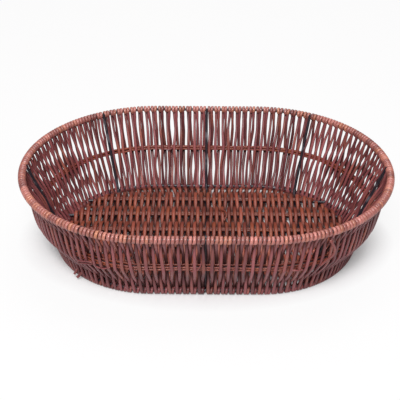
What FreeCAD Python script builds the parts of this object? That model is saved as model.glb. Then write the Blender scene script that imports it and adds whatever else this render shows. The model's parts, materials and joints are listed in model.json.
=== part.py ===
import FreeCAD, Part

import math
import os

import Sketcher

# Oval bread basket: a welded steel wire frame that carries woven plastic cord.
# The plan of every ring is a stadium: two straight sides, two half-circle ends
# whose centres lie at plus and minus straight_half on X. X runs along the
# basket, Y across it with the front at -Y, Z up from the surface it stands on.
# Ribs of wire cut the rim and the wall into eight stretches, so the lashing of
# the rim and the upper and lower weave are eight pieces each.

DIMENSIONS = (
    ("straight_half", 42.5, "half length of the straight sides"),
    ("rim_radius", 104.3, "distance of the rim wire from the long axis"),
    ("rim_height", 66.8, "height of the rim wire's centre"),
    ("base_radius", 78.3, "distance of the base ring wire from the long axis"),
    ("base_height", 3.2, "height of the base ring wire's centre"),
    ("wire_diameter", 2.4, "steel wire of the rim, ribs, base ring and base wires"),
    ("hoop_diameter", 2.0, "thinner steel wire of the hoop round the middle"),
    ("cord_thickness", 2.0, "thickness of a woven cord"),
    ("lashing_diameter", 6.4, "outside of the cord wound round the rim"),
    ("fit_gap", 0.1, "space left between pieces that touch"),
    ("end_gap", 0.2, "space between a weave panel and the band above or below it"),
    ("hoop_down", 34.4, "hoop's distance below the rim, measured down the wall"),
    ("hoop_bulge", 1.3, "how far the hoop stands outside the line of the wall"),
    ("runner_height", 2.6, "height of one runner cord of the hoop band"),
    ("runner_thickness", 1.5, "thickness of one runner cord of the hoop band"),
    ("rib_angle", 28, "angle of the side ribs round the end arcs, from the Y axis"),
    ("rib_gap", 1.8, "half width of the space left for a rib"),
    ("rib_rise", 0.8, "how far a rib's tip passes the middle of the rim wire"),
    ("bend_radius", 6, "bend of the ribs where they turn under the base"),
    ("band_spacing", 24, "spacing of the lengthwise wires across the base"),
    ("band_width", 5, "width of the pair of runner cords on a base wire"),
    ("band_reach", 70, "runner cords end this far from the long axis"),
    ("weave_edge", 75, "edge of the base weave, from the long axis"),
    ("weave_thickness", 1.8, "thickness of each layer of the base weave"),
    ("foot_reach", 74, "inner edge of the cords wrapped under the base ring"),
    ("pinch_inner", 1.0, "inside of the wall weave where its cords cross"),
    ("pinch_outer", 2.3, "outside of the wall weave where its cords cross"),
)

WALL_TILT = ("atan((Dims.rim_radius - Dims.base_radius)"
             " / (Dims.rim_height - Dims.base_height))")
WALL_LENGTH = f"(Dims.rim_height - Dims.base_height) / cos({WALL_TILT})"
WIRE_RADIUS = "Dims.wire_diameter / 2"
LASHING_RADIUS = "Dims.lashing_diameter / 2"
RIB_OFFSET = "(Dims.wire_diameter + Dims.fit_gap)"
LOW_RUN = "Dims.base_height"
HIGH_RUN = f"(Dims.base_height + {RIB_OFFSET})"
WIRE_TOP = f"({HIGH_RUN} + {WIRE_RADIUS})"
RUNNER_TOP = f"({WIRE_TOP} + Dims.fit_gap / 2 + Dims.cord_thickness)"
GAP_ANGLE = "asin(Dims.rib_gap / Dims.base_radius)"
RIB_ANGLE = "Dims.rib_angle * 1 deg"
SIDE_SWEEP = f"{RIB_ANGLE} - {GAP_ANGLE}"
END_SWEEP = f"90 deg - {RIB_ANGLE} - 2 * {GAP_ANGLE}"
END_START = f"{RIB_ANGLE} + {GAP_ANGLE}"

OVAL = "4 * Dims.straight_half + 2 * pi * "
DIAGONAL = "sin(45)"
# Corners of an eight-sided outline stand 8% further out than its flats, and this leaves a little more.
CORNER_ROOM = 1.1

STEP_LIMIT = 60
VOLUME_TOLERANCE = 0.01

doc = FreeCAD.newDocument("bread_basket")
sheet = doc.addObject("Spreadsheet::Sheet", "Dims")
for row, (alias, number, note) in enumerate(DIMENSIONS, start=1):
    sheet.set(f"A{row}", alias)
    sheet.set(f"B{row}", str(number))
    sheet.setAlias(f"B{row}", alias)
    sheet.set(f"C{row}", note)
doc.recompute()

nodes = []


def value(expression):
    """Work out an expression of the sheet's cells as a plain number."""
    result = sheet.evalExpression(expression)
    return float(getattr(result, "Value", result))


def keep(thing, name):
    """Name a finished sub-part and list it for writing."""
    thing.Label = name
    nodes.append(thing)
    return thing


def wall_point(down, out):
    """Distance from the long axis and height of a point on the sloping wall.

    down is measured from the rim wire along the wall, out is square to the
    wall and positive outside it. Both are expressions, and so are the results.
    """
    reach = f"Dims.rim_radius - ({down}) * sin({WALL_TILT}) + ({out}) * cos({WALL_TILT})"
    height = f"Dims.rim_height - ({down}) * cos({WALL_TILT}) - ({out}) * sin({WALL_TILT})"
    return reach, height


def rib_foot(height):
    """Distance from the long axis where a rib's middle line is at a height."""
    drop = f"(Dims.rim_height - {height}) * tan({WALL_TILT})"
    return f"(Dims.rim_radius - {drop} - {RIB_OFFSET} / cos({WALL_TILT}))"


def add_sketch(body, name, plane, offset=None):
    """Add a sketch on one of the body's own origin planes."""
    sketch = body.newObject("Sketcher::SketchObject", name)
    support = next(f for f in body.Origin.OriginFeatures if f.Role == plane)
    sketch.AttachmentSupport = [(support, "")]
    sketch.MapMode = "FlatFace"
    if offset:
        sketch.setExpression("AttachmentOffset.Base.z", offset)
        doc.recompute()
    return sketch


def place_point(sketch, edge, end, across, up):
    """Hold one end of a sketch edge at a place given by two expressions."""
    for kind, expression in (("DistanceX", across), ("DistanceY", up)):
        rule = Sketcher.Constraint(kind, -1, 1, edge, end, value(expression))
        index = sketch.addConstraint(rule)
        sketch.setExpression(f"Constraints[{index}]", expression)


def hold_radius(sketch, edge, expression):
    """Bind the radius of a sketch's circle or arc to an expression."""
    rule = Sketcher.Constraint("Radius", edge, value(expression))
    index = sketch.addConstraint(rule)
    sketch.setExpression(f"Constraints[{index}]", expression)


def draw_polygon(corners):
    """Return a drawing function for a closed outline with straight sides."""
    def draw(sketch):
        places = [FreeCAD.Vector(value(across), value(up), 0) for across, up in corners]
        count = len(places)
        for index, start in enumerate(places):
            end = places[(index + 1) % count]
            sketch.addGeometry(Part.LineSegment(start, end), False)
        for index in range(count):
            following = (index + 1) % count
            sketch.addConstraint(Sketcher.Constraint("Coincident", index, 2, following, 1))
        for index, (across, up) in enumerate(corners):
            place_point(sketch, index, 1, across, up)
    return draw


def draw_circles(across, up, radii):
    """Return a drawing function for one circle, or two that leave a ring."""
    def draw(sketch):
        centre = FreeCAD.Vector(value(across), value(up), 0)
        axis = FreeCAD.Vector(0, 0, 1)
        for index, radius in enumerate(radii):
            sketch.addGeometry(Part.Circle(centre, axis, value(radius)), False)
            place_point(sketch, index, 3, across, up)
            hold_radius(sketch, index, radius)
    return draw


def oval_ring(name, draw):
    """Make a whole oval ring: a straight side and a round end, made twice."""
    body = doc.addObject("PartDesign::Body", name)
    sketch = add_sketch(body, f"{name}_profile", "YZ_Plane", "Dims.straight_half")
    draw(sketch)
    side = body.newObject("PartDesign::Pad", f"{name}_side")
    side.Profile = sketch
    side.setExpression("Length", "2 * Dims.straight_half")
    side.Reversed = True
    doc.recompute()
    bend = body.newObject("PartDesign::Revolution", f"{name}_end")
    bend.Profile = sketch
    bend.ReferenceAxis = (sketch, ["V_Axis"])
    bend.Angle = 180
    bend.Reversed = True
    doc.recompute()
    pattern = body.newObject("PartDesign::PolarPattern", f"{name}_other_half")
    pattern.Originals = [side, bend]
    axis = next(f for f in body.Origin.OriginFeatures if f.Role == "Z_Axis")
    pattern.Axis = (axis, [""])
    pattern.Angle = 360
    pattern.Occurrences = 2
    body.Tip = pattern
    return keep(body, name)


def mirror_copy(source, name, normal):
    """Make a mirrored copy of a sub-part in the plane square to normal."""
    copy = doc.addObject("Part::Mirroring", name)
    copy.Source = source
    copy.Normal = normal
    return keep(copy, name)


def four_ways(source, prefix, near, far):
    """Copy a piece of the back right quarter into the other three quarters.

    near and far name the two directions, such as back and right: the copies
    are at the opposite of one, the other and both.
    """
    opposite = {"back": "front", "right": "left"}
    across = FreeCAD.Vector(0, 1, 0)
    along = FreeCAD.Vector(1, 0, 0)
    normals = {"back": across, "right": along}
    first = mirror_copy(source, f"{prefix}_{opposite[near]}_{far}", normals[near])
    mirror_copy(source, f"{prefix}_{near}_{opposite[far]}", normals[far])
    mirror_copy(first, f"{prefix}_{opposite[near]}_{opposite[far]}", normals[far])


def side_stretches(prefix, draw):
    """Make the four stretches from the middle rib round to the side ribs."""
    name = f"{prefix}_back_right"
    body = doc.addObject("PartDesign::Body", name)
    sketch = add_sketch(body, f"{name}_profile", "YZ_Plane", "Dims.straight_half")
    draw(sketch)
    side = body.newObject("PartDesign::Pad", f"{name}_side")
    side.Profile = sketch
    side.setExpression("Length", "Dims.straight_half - Dims.rib_gap")
    side.Reversed = True
    doc.recompute()
    bend = body.newObject("PartDesign::Revolution", f"{name}_bend")
    bend.Profile = sketch
    bend.ReferenceAxis = (sketch, ["V_Axis"])
    bend.setExpression("Angle", SIDE_SWEEP)
    bend.Reversed = True
    body.Tip = bend
    keep(body, name)
    four_ways(body, prefix, "back", "right")


def end_stretches(prefix, draw):
    """Make the four stretches from the side ribs round to the end ribs."""
    name = f"{prefix}_right_back"
    body = doc.addObject("PartDesign::Body", name)
    sketch = add_sketch(body, f"{name}_profile", "YZ_Plane")
    draw(sketch)
    bend = body.newObject("PartDesign::Revolution", f"{name}_bend")
    bend.Profile = sketch
    bend.ReferenceAxis = (sketch, ["V_Axis"])
    bend.setExpression("Angle", END_SWEEP)
    bend.Reversed = True
    body.Tip = bend
    clockwise = FreeCAD.Vector(0, 0, -1)
    turn = FreeCAD.Rotation(clockwise, value(END_START))
    body.Placement = FreeCAD.Placement(FreeCAD.Vector(value("Dims.straight_half"), 0, 0), turn)
    body.setExpression("Placement.Base.x", "Dims.straight_half")
    body.setExpression("Placement.Rotation.Angle", END_START)
    keep(body, name)
    four_ways(body, prefix, "right", "back")


def bent_rib(name, plane, profile_plane, mirror_plane, half_run, tip_reach, tip_rise):
    """Make a wire that runs under the base and up both walls.

    The wire is drawn in the body's own plane, from the middle of its run
    under the base, round one bend and up to the rim, and is then mirrored.
    half_run, tip_reach and tip_rise are expressions measured in that plane.
    """
    body = doc.addObject("PartDesign::Body", name)
    path = add_sketch(body, f"{name}_path", plane)
    corner = FreeCAD.Vector(value(half_run), 0, 0)
    tip = FreeCAD.Vector(value(tip_reach), value(tip_rise), 0)
    leg = (tip - corner).normalize()
    radius = value("Dims.bend_radius")
    turn = leg.getAngle(FreeCAD.Vector(1, 0, 0))
    cut = radius * math.tan(turn / 2)
    bend_start = corner - FreeCAD.Vector(cut, 0, 0)
    bend_end = corner + leg * cut
    centre = bend_start + FreeCAD.Vector(0, radius, 0)
    middle = (corner - centre).normalize() * radius + centre
    path.addGeometry(Part.LineSegment(FreeCAD.Vector(0, 0, 0), bend_start), False)
    path.addGeometry(Part.Arc(bend_start, middle, bend_end), False)
    path.addGeometry(Part.LineSegment(bend_end, tip), False)
    path.addGeometry(Part.LineSegment(corner, tip), True)
    path.addConstraint(Sketcher.Constraint("Coincident", 0, 1, -1, 1))
    path.addConstraint(Sketcher.Constraint("Horizontal", 0))
    path.addConstraint(Sketcher.Constraint("Tangent", 0, 2, 1, 1))
    path.addConstraint(Sketcher.Constraint("Tangent", 1, 2, 2, 1))
    path.addConstraint(Sketcher.Constraint("Coincident", 2, 2, 3, 2))
    path.addConstraint(Sketcher.Constraint("PointOnObject", 2, 1, 3))
    path.addConstraint(Sketcher.Constraint("PointOnObject", 3, 1, -1))
    hold_radius(path, 1, "Dims.bend_radius")
    index = path.addConstraint(Sketcher.Constraint("DistanceX", -1, 1, 3, 1, corner.x))
    path.setExpression(f"Constraints[{index}]", half_run)
    place_point(path, 2, 2, tip_reach, tip_rise)
    profile = add_sketch(body, f"{name}_section", profile_plane)
    axis = FreeCAD.Vector(0, 0, 1)
    start = FreeCAD.Vector(0, 0, 0)
    profile.addGeometry(Part.Circle(start, axis, value(WIRE_RADIUS)), False)
    profile.addConstraint(Sketcher.Constraint("Coincident", 0, 3, -1, 1))
    hold_radius(profile, 0, WIRE_RADIUS)
    doc.recompute()
    pipe = body.newObject("PartDesign::AdditivePipe", f"{name}_half")
    pipe.Profile = profile
    pipe.Spine = path
    doc.recompute()
    other = body.newObject("PartDesign::Mirrored", f"{name}_other_half")
    other.Originals = [pipe]
    support = next(f for f in body.Origin.OriginFeatures if f.Role == mirror_plane)
    other.MirrorPlane = (support, [""])
    body.Tip = other
    return keep(body, name)


def make_frame_rings():
    """Rim wire, hoop wire round the middle of the wall, and base ring wire."""
    rim = draw_circles("Dims.rim_radius", "Dims.rim_height", (WIRE_RADIUS,))
    oval_ring("rim_wire", rim)
    reach, height = wall_point("Dims.hoop_down", "Dims.hoop_bulge")
    hoop = draw_circles(reach, height, ("Dims.hoop_diameter / 2",))
    oval_ring("mid_hoop_wire", hoop)
    base = draw_circles("Dims.base_radius", "Dims.base_height", (WIRE_RADIUS,))
    oval_ring("base_ring_wire", base)


def make_ribs():
    """Three ribs across the basket and one along it, each a wide U."""
    tip_reach, tip_height = wall_point("-Dims.rib_rise", f"-{RIB_OFFSET}")
    rise = f"({tip_height} - {LOW_RUN})"
    foot = rib_foot(LOW_RUN)
    middle = bent_rib("cross_wire_middle", "YZ_Plane", "XZ_Plane", "XZ_Plane",
                      foot, tip_reach, rise)
    middle.setExpression("Placement.Base.z", LOW_RUN)

    foot_along = f"({foot} * sin(Dims.rib_angle))"
    lean = f"atan(({tip_reach} - {foot}) * sin(Dims.rib_angle) / {rise})"
    right = bent_rib("cross_wire_right", "YZ_Plane", "XZ_Plane", "XZ_Plane",
                     f"{foot} * cos(Dims.rib_angle)",
                     f"({tip_reach}) * cos(Dims.rib_angle)",
                     f"{rise} / cos({lean})")
    tilt = FreeCAD.Rotation(FreeCAD.Vector(0, 1, 0), value(lean))
    right.Placement = FreeCAD.Placement(FreeCAD.Vector(0, 0, 0), tilt)
    right.setExpression("Placement.Rotation.Angle", lean)
    right.setExpression("Placement.Base.x", f"Dims.straight_half + {foot_along}")
    right.setExpression("Placement.Base.z", LOW_RUN)
    mirror_copy(right, "cross_wire_left", FreeCAD.Vector(1, 0, 0))

    high_foot = rib_foot(HIGH_RUN)
    along = bent_rib("long_wire", "XZ_Plane", "YZ_Plane", "YZ_Plane",
                     f"Dims.straight_half + {high_foot}",
                     f"Dims.straight_half + {tip_reach}",
                     f"{tip_height} - {HIGH_RUN}")
    along.setExpression("Placement.Base.z", HIGH_RUN)


def make_base_bands():
    """Lengthwise base wires on the base ring, and the runner cords on them.

    The middle band's wire is the long rib, so it has runner cords only.
    """
    names = ("front_outer", "front_inner", "middle", "back_inner", "back_outer")
    for step, name in zip(range(-2, 3), names):
        across = f"({step} * Dims.band_spacing)"
        if step:
            half = f"(Dims.straight_half + sqrt(pow(Dims.base_radius; 2) - pow({across}; 2)))"
            wire = doc.addObject("Part::Cylinder", f"base_wire_{name}")
            wire.setExpression("Radius", WIRE_RADIUS)
            wire.setExpression("Height", f"2 * {half}")
            lay_down = FreeCAD.Rotation(FreeCAD.Vector(0, 1, 0), 90)
            wire.Placement = FreeCAD.Placement(FreeCAD.Vector(0, 0, 0), lay_down)
            wire.setExpression("Placement.Base.x", f"-{half}")
            wire.setExpression("Placement.Base.y", across)
            wire.setExpression("Placement.Base.z", HIGH_RUN)
            keep(wire, f"base_wire_{name}")
        half = f"(Dims.straight_half + sqrt(pow(Dims.band_reach; 2) - pow({across}; 2)))"
        runner = doc.addObject("Part::Box", f"base_runner_cords_{name}")
        runner.setExpression("Length", f"2 * {half}")
        runner.setExpression("Width", "Dims.band_width")
        runner.setExpression("Height", "Dims.cord_thickness")
        runner.setExpression("Placement.Base.x", f"-{half}")
        runner.setExpression("Placement.Base.y", f"{across} - Dims.band_width / 2")
        runner.setExpression("Placement.Base.z", f"{WIRE_TOP} + Dims.fit_gap / 2")
        keep(runner, f"base_runner_cords_{name}")


def make_hoop_runners():
    """Two runner cords, one above the other, on each face of the hoop wire."""
    outer_face = "Dims.hoop_bulge + Dims.hoop_diameter / 2 + Dims.fit_gap / 2"
    inner_face = "Dims.hoop_bulge - Dims.hoop_diameter / 2 - Dims.fit_gap / 2"
    faces = (
        ("outer", outer_face, f"{outer_face} + Dims.runner_thickness"),
        ("inner", f"{inner_face} - Dims.runner_thickness", inner_face),
    )
    levels = (
        ("upper", "Dims.hoop_down - Dims.runner_height", "Dims.hoop_down - Dims.fit_gap / 2"),
        ("lower", "Dims.hoop_down + Dims.fit_gap / 2", "Dims.hoop_down + Dims.runner_height"),
    )
    for face, inside, outside in faces:
        for level, top, bottom in levels:
            corners = (wall_point(top, inside), wall_point(top, outside),
                       wall_point(bottom, outside), wall_point(bottom, inside))
            oval_ring(f"hoop_runner_cord_{face}_{level}", draw_polygon(corners))


def make_rim_lashing():
    """Cord wound closely round the rim wire, broken where a rib meets it."""
    bore = f"{WIRE_RADIUS} + Dims.fit_gap / 2"
    ring = draw_circles("Dims.rim_radius", "Dims.rim_height", (LASHING_RADIUS, bore))
    side_stretches("rim_lashing", ring)
    end_stretches("rim_lashing", ring)


def make_wall_weave():
    """Upper and lower wall, each narrow where its two sets of cords cross."""
    edge = LASHING_RADIUS
    belly = ("Dims.hoop_bulge + Dims.hoop_diameter / 2 + Dims.runner_thickness"
             " + Dims.cord_thickness")
    upper_top = f"{LASHING_RADIUS} + Dims.end_gap"
    upper_foot = "Dims.hoop_down - Dims.runner_height - Dims.end_gap"
    lower_top = "Dims.hoop_down + Dims.runner_height + Dims.end_gap"
    lower_foot = f"{WALL_LENGTH} - {LASHING_RADIUS} - {WIRE_RADIUS}"
    upper_waist = f"(({upper_top}) + ({upper_foot})) / 2"
    lower_waist = f"(({lower_top}) + ({lower_foot})) / 2"
    upper = draw_polygon((
        wall_point(upper_top, f"-{edge}"), wall_point(upper_top, edge),
        wall_point(upper_waist, "Dims.pinch_outer"), wall_point(upper_foot, belly),
        wall_point(upper_foot, f"-{edge}"), wall_point(upper_waist, "-Dims.pinch_inner"),
    ))
    lower = draw_polygon((
        wall_point(lower_top, f"-{edge}"), wall_point(lower_top, belly),
        wall_point(lower_waist, "Dims.pinch_outer"), wall_point(lower_foot, edge),
        wall_point(lower_foot, f"-{edge}"), wall_point(lower_waist, "-Dims.pinch_inner"),
    ))
    for prefix, outline in (("wall_weave_upper", upper), ("wall_weave_lower", lower)):
        side_stretches(prefix, outline)
        end_stretches(prefix, outline)


def make_base_edge_lashing():
    """Cords wrapped round the outside of the base ring and under it."""
    inner = f"({WIRE_RADIUS} + Dims.fit_gap / 2)"
    outer = f"({LASHING_RADIUS})"
    reach = "Dims.base_radius"
    height = "Dims.base_height"
    room = f"({inner} * {CORNER_ROOM})"
    corners = (
        ("Dims.foot_reach", "0"),
        (reach, "0"),
        (f"{reach} + {outer} * {DIAGONAL}", f"{height} - {outer} * {DIAGONAL}"),
        (f"{reach} + {outer}", height),
        (f"{reach} + {outer} * {DIAGONAL}", f"{height} + {outer} * {DIAGONAL}"),
        (f"{reach} + {inner} * {DIAGONAL}", f"{height} + {inner} * {DIAGONAL}"),
        (f"{reach} + {room}", height),
        (f"{reach} + {room} * {DIAGONAL}", f"{height} - {room} * {DIAGONAL}"),
        (reach, f"{height} - {room}"),
        ("Dims.foot_reach", f"{height} - {room}"),
    )
    oval_ring("base_edge_lashing", draw_polygon(corners))


def stadium_plate(name, radius, bottom, thickness):
    """Make a flat oval plate of a given edge distance from the long axis."""
    slab = doc.addObject("Part::Box", f"{name}_slab")
    slab.setExpression("Length", "2 * Dims.straight_half")
    slab.setExpression("Width", f"2 * {radius}")
    slab.setExpression("Height", thickness)
    slab.setExpression("Placement.Base.x", "-Dims.straight_half")
    slab.setExpression("Placement.Base.y", f"-{radius}")
    slab.setExpression("Placement.Base.z", bottom)
    pieces = [slab]
    for side in (-1, 1):
        disc = doc.addObject("Part::Cylinder", f"{name}_disc")
        disc.setExpression("Radius", radius)
        disc.setExpression("Height", thickness)
        disc.setExpression("Placement.Base.x", f"{side} * Dims.straight_half")
        disc.setExpression("Placement.Base.z", bottom)
        pieces.append(disc)
    plate = doc.addObject("Part::MultiFuse", name)
    plate.Shapes = pieces
    plate.Refine = True
    return plate


def make_base_weave():
    """Upper layer of the base in one piece, lower layer between the cross wires."""
    upper = stadium_plate("base_weave_upper", "Dims.weave_edge",
                          f"{RUNNER_TOP} + Dims.fit_gap / 2", "Dims.weave_thickness")
    keep(upper, "base_weave_upper")
    bottom = f"{LOW_RUN} + {WIRE_RADIUS} - Dims.fit_gap - Dims.weave_thickness"
    lower = stadium_plate("lower_layer", "Dims.weave_edge", bottom, "Dims.weave_thickness")
    cross = f"(Dims.straight_half + {rib_foot(LOW_RUN)} * sin(Dims.rib_angle))"
    tip = "(Dims.straight_half + Dims.base_radius)"
    spans = (
        ("left_end", f"-{tip}", f"-{cross} - Dims.rib_gap"),
        ("left", f"-{cross} + Dims.rib_gap", "-Dims.rib_gap"),
        ("right", "Dims.rib_gap", f"{cross} - Dims.rib_gap"),
        ("right_end", f"{cross} + Dims.rib_gap", tip),
    )
    for name, start, end in spans:
        cutter = doc.addObject("Part::Box", f"span_{name}")
        cutter.setExpression("Length", f"({end}) - ({start})")
        cutter.setExpression("Width", "2 * Dims.base_radius")
        cutter.setExpression("Height", "2 * Dims.base_height")
        cutter.setExpression("Placement.Base.x", start)
        cutter.setExpression("Placement.Base.y", "-Dims.base_radius")
        piece = doc.addObject("Part::Common", f"base_weave_lower_{name}")
        piece.Base = lower
        piece.Tool = cutter
        keep(piece, f"base_weave_lower_{name}")


def check_wire(name, length, diameter):
    """Compare a wire's volume with its section times its length."""
    wire = next(node for node in nodes if node.Label == name)
    expected = value(length) * value(f"pi / 4 * pow({diameter}; 2)")
    error = abs(wire.Shape.Volume - expected) / expected
    if error > VOLUME_TOLERANCE:
        raise RuntimeError(f"{name} is not a whole wire: off by {error:.1%}")


def check_and_write():
    """Refuse failed or empty shapes, then write one STEP file for each node."""
    for thing in doc.Objects:
        if "Invalid" in thing.State or "Error" in thing.State:
            raise RuntimeError(f"{thing.Label} failed: {thing.State}")
    for node in nodes:
        shape = node.Shape
        if shape.isNull() or not shape.isValid() or not shape.Solids:
            raise RuntimeError(f"{node.Label} has no sound solid")
    if len(nodes) > STEP_LIMIT:
        raise RuntimeError(f"{len(nodes)} nodes are too many")
    os.makedirs("parts", exist_ok=True)
    for node in nodes:
        node.Shape.exportStep(f"parts/{node.Label}.step")


make_frame_rings()
make_ribs()
make_base_bands()
make_hoop_runners()
make_rim_lashing()
make_wall_weave()
make_base_edge_lashing()
make_base_weave()
doc.recompute()
check_wire("rim_wire", OVAL + "Dims.rim_radius", "Dims.wire_diameter")
check_wire("base_ring_wire", OVAL + "Dims.base_radius", "Dims.wire_diameter")
check_and_write()
print(f"{len(nodes)} nodes written")
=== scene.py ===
import json
import math

import bpy
import numpy as np
from bpy.props import FloatProperty, FloatVectorProperty, IntProperty, PointerProperty
from mathutils import Matrix, Vector


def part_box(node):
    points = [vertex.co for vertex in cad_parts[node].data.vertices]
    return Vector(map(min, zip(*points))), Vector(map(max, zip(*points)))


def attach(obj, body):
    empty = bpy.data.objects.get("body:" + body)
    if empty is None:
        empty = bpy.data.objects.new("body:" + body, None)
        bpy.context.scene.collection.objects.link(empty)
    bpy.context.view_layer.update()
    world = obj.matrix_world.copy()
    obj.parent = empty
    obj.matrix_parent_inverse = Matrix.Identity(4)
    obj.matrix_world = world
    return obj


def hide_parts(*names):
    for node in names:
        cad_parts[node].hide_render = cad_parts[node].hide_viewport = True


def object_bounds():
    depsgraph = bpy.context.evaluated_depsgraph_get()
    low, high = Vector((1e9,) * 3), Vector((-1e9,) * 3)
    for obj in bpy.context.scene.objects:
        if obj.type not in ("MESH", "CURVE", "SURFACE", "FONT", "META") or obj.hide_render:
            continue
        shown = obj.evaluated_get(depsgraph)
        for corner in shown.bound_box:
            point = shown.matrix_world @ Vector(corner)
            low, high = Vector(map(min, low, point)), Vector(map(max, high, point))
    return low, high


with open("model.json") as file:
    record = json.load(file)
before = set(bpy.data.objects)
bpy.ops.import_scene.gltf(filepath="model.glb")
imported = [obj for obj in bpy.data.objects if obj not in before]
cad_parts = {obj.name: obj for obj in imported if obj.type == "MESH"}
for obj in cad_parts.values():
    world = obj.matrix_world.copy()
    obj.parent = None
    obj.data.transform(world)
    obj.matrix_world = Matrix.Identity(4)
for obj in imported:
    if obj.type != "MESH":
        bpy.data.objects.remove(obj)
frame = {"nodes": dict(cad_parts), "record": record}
CAD_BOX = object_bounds()

bl_info = {
    "name": "Woven Bread Basket",
    "version": (1, 0, 0),
    "blender": (4, 5, 0),
    "location": "3D View > Sidebar > Basket",
    "description": "Weaves cord over the wire frame of an oval bread basket",
    "category": "Object",
}

BODY = "root"
CORD_SLOT = "woven_cord"
RIGHT, LEFT = 1, -1
BACK, FRONT = 1, -1
SIDE_NAMES = {RIGHT: "right", LEFT: "left"}
DEPTH_NAMES = {BACK: "back", FRONT: "front"}
QUARTERS = tuple((side, depth) for depth in (FRONT, BACK) for side in (LEFT, RIGHT))


# Measures of the wire frame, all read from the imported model.

def ring_measures(node):
    """Half straight, radius, height and wire diameter of an oval ring."""
    low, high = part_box(node)
    diameter = high.z - low.z
    radius = high.y - diameter / 2
    straight = high.x - high.y
    return straight, radius, (low.z + high.z) / 2, diameter


STRAIGHT, RIM_RADIUS, RIM_HEIGHT, WIRE = ring_measures("rim_wire")
BASE_RADIUS, BASE_HEIGHT = ring_measures("base_ring_wire")[1:3]
HOOP_RADIUS, HOOP_HEIGHT, HOOP_WIRE = ring_measures("mid_hoop_wire")[1:]
WALL_LENGTH = math.hypot(RIM_RADIUS - BASE_RADIUS, RIM_HEIGHT - BASE_HEIGHT)
# Shares of a step down the wall that go inwards and downwards.
LEAN_IN = (RIM_RADIUS - BASE_RADIUS) / WALL_LENGTH
LEAN_DOWN = (RIM_HEIGHT - BASE_HEIGHT) / WALL_LENGTH
# The hoop wire's distance below the rim along the wall, and outside the wall square to it.
HOOP_DOWN = (RIM_HEIGHT - HOOP_HEIGHT) * LEAN_DOWN + (RIM_RADIUS - HOOP_RADIUS) * LEAN_IN
HOOP_OUT = (HOOP_RADIUS - RIM_RADIUS) * LEAN_DOWN + (RIM_HEIGHT - HOOP_HEIGHT) * LEAN_IN
LASHING_LOW, LASHING_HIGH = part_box("rim_lashing_back_right")
RIM_TURN = (LASHING_HIGH.z - LASHING_LOW.z - WIRE) / 4 + WIRE / 2
RIB_LOW, RIB_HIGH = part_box("cross_wire_right")
RIB_ANGLE = math.atan2(RIB_HIGH.x - WIRE / 2 - STRAIGHT, RIB_HIGH.y - WIRE / 2)
BAND_NODES = ("front_outer", "front_inner", "middle", "back_inner", "back_outer")
BAND_SPACING = sum(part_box("base_wire_back_inner")[end].y for end in (0, 1)) / 2
OVER_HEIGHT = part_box("base_runner_cords_middle")[1].z
UNDER_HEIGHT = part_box("long_wire")[0].z


class BasketCordSettings(bpy.types.PropertyGroup):
    """Sizes and spacing of the woven cord."""

    width: FloatProperty(
        name="Cord Width", description="Width of a cord in the wall and the base",
        default=0.00245, min=0.0005, max=0.006, precision=5, unit="LENGTH")
    thickness: FloatProperty(
        name="Cord Thickness", description="Thickness of a cord, square to its width",
        default=0.0019, min=0.0005, max=0.006, precision=4, unit="LENGTH")
    lashing_width: FloatProperty(
        name="Lashing Width", description="Width of a cord where it is pulled flat on the rim",
        default=0.0026, min=0.0005, max=0.006, precision=4, unit="LENGTH")
    side_pairs: IntProperty(
        name="Side Pairs", description="Pairs of cords from a middle rib to a side rib",
        default=15, min=4, max=40)
    end_pairs: IntProperty(
        name="End Pairs", description="Pairs of cords from a side rib to an end rib",
        default=19, min=4, max=40)
    rib_clearance: FloatProperty(
        name="Rib Clearance", description="Space kept free of cords on each side of a rib",
        default=0.0003, min=0.0, max=0.005, precision=4, unit="LENGTH")
    unevenness: FloatProperty(
        name="Unevenness", description="How far the cords stray from an even pattern",
        default=0.00035, min=0.0, max=0.002, precision=5, unit="LENGTH")
    seed: IntProperty(
        name="Seed", description="Seed of the weaving's unevenness", default=7, min=0)


class BasketFinishSettings(bpy.types.PropertyGroup):
    """Colours of the cord and of the painted wire."""

    cord_dark: FloatVectorProperty(
        name="Dark Cord", description="Colour of the darkest cords",
        default=(0.115, 0.028, 0.024), min=0.0, max=1.0, subtype="COLOR")
    cord_light: FloatVectorProperty(
        name="Light Cord", description="Colour of the lightest cords",
        default=(0.290, 0.083, 0.066), min=0.0, max=1.0, subtype="COLOR")
    cord_warm: FloatVectorProperty(
        name="Warm Cord", description="Colour that some cords turn towards",
        default=(0.360, 0.112, 0.045), min=0.0, max=1.0, subtype="COLOR")
    wire_paint: FloatVectorProperty(
        name="Wire Paint", description="Colour of the paint on the wire",
        default=(0.021, 0.016, 0.022), min=0.0, max=1.0, subtype="COLOR")


class BasketStageSettings(bpy.types.PropertyGroup):
    """Camera and light."""

    distance: FloatProperty(
        name="Camera Distance", description="Distance from the camera to the basket's middle",
        default=0.836, min=0.2, max=4.0, unit="LENGTH")
    elevation: FloatProperty(
        name="Camera Elevation", description="Angle of the camera above the table",
        default=math.radians(31.8), min=0.0, max=math.pi / 2, subtype="ANGLE")
    roll: FloatProperty(
        name="Camera Roll", description="Turn of the camera about its own line of sight",
        default=math.radians(0.38), min=-0.2, max=0.2, subtype="ANGLE")
    lens: FloatProperty(
        name="Lens", description="Focal length on a full-frame sensor",
        default=91.8, min=20.0, max=300.0, unit="CAMERA")
    key_power: FloatProperty(
        name="Key Light", description="Power of the light above the camera",
        default=26.0, min=0.0, max=500.0, unit="POWER")
    top_power: FloatProperty(
        name="Top Light", description="Power of the wide light above the far side",
        default=11.0, min=0.0, max=500.0, unit="POWER")
    surround: FloatProperty(
        name="Surround", description="Brightness of the white surroundings",
        default=0.16, min=0.0, max=2.0)
    floor_tone: FloatVectorProperty(
        name="Floor", description="Colour of the floor",
        default=(0.66, 0.64, 0.65), min=0.0, max=1.0, subtype="COLOR")


# Places on the oval and on the wall.

EASE_CURVE = 0.65


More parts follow.
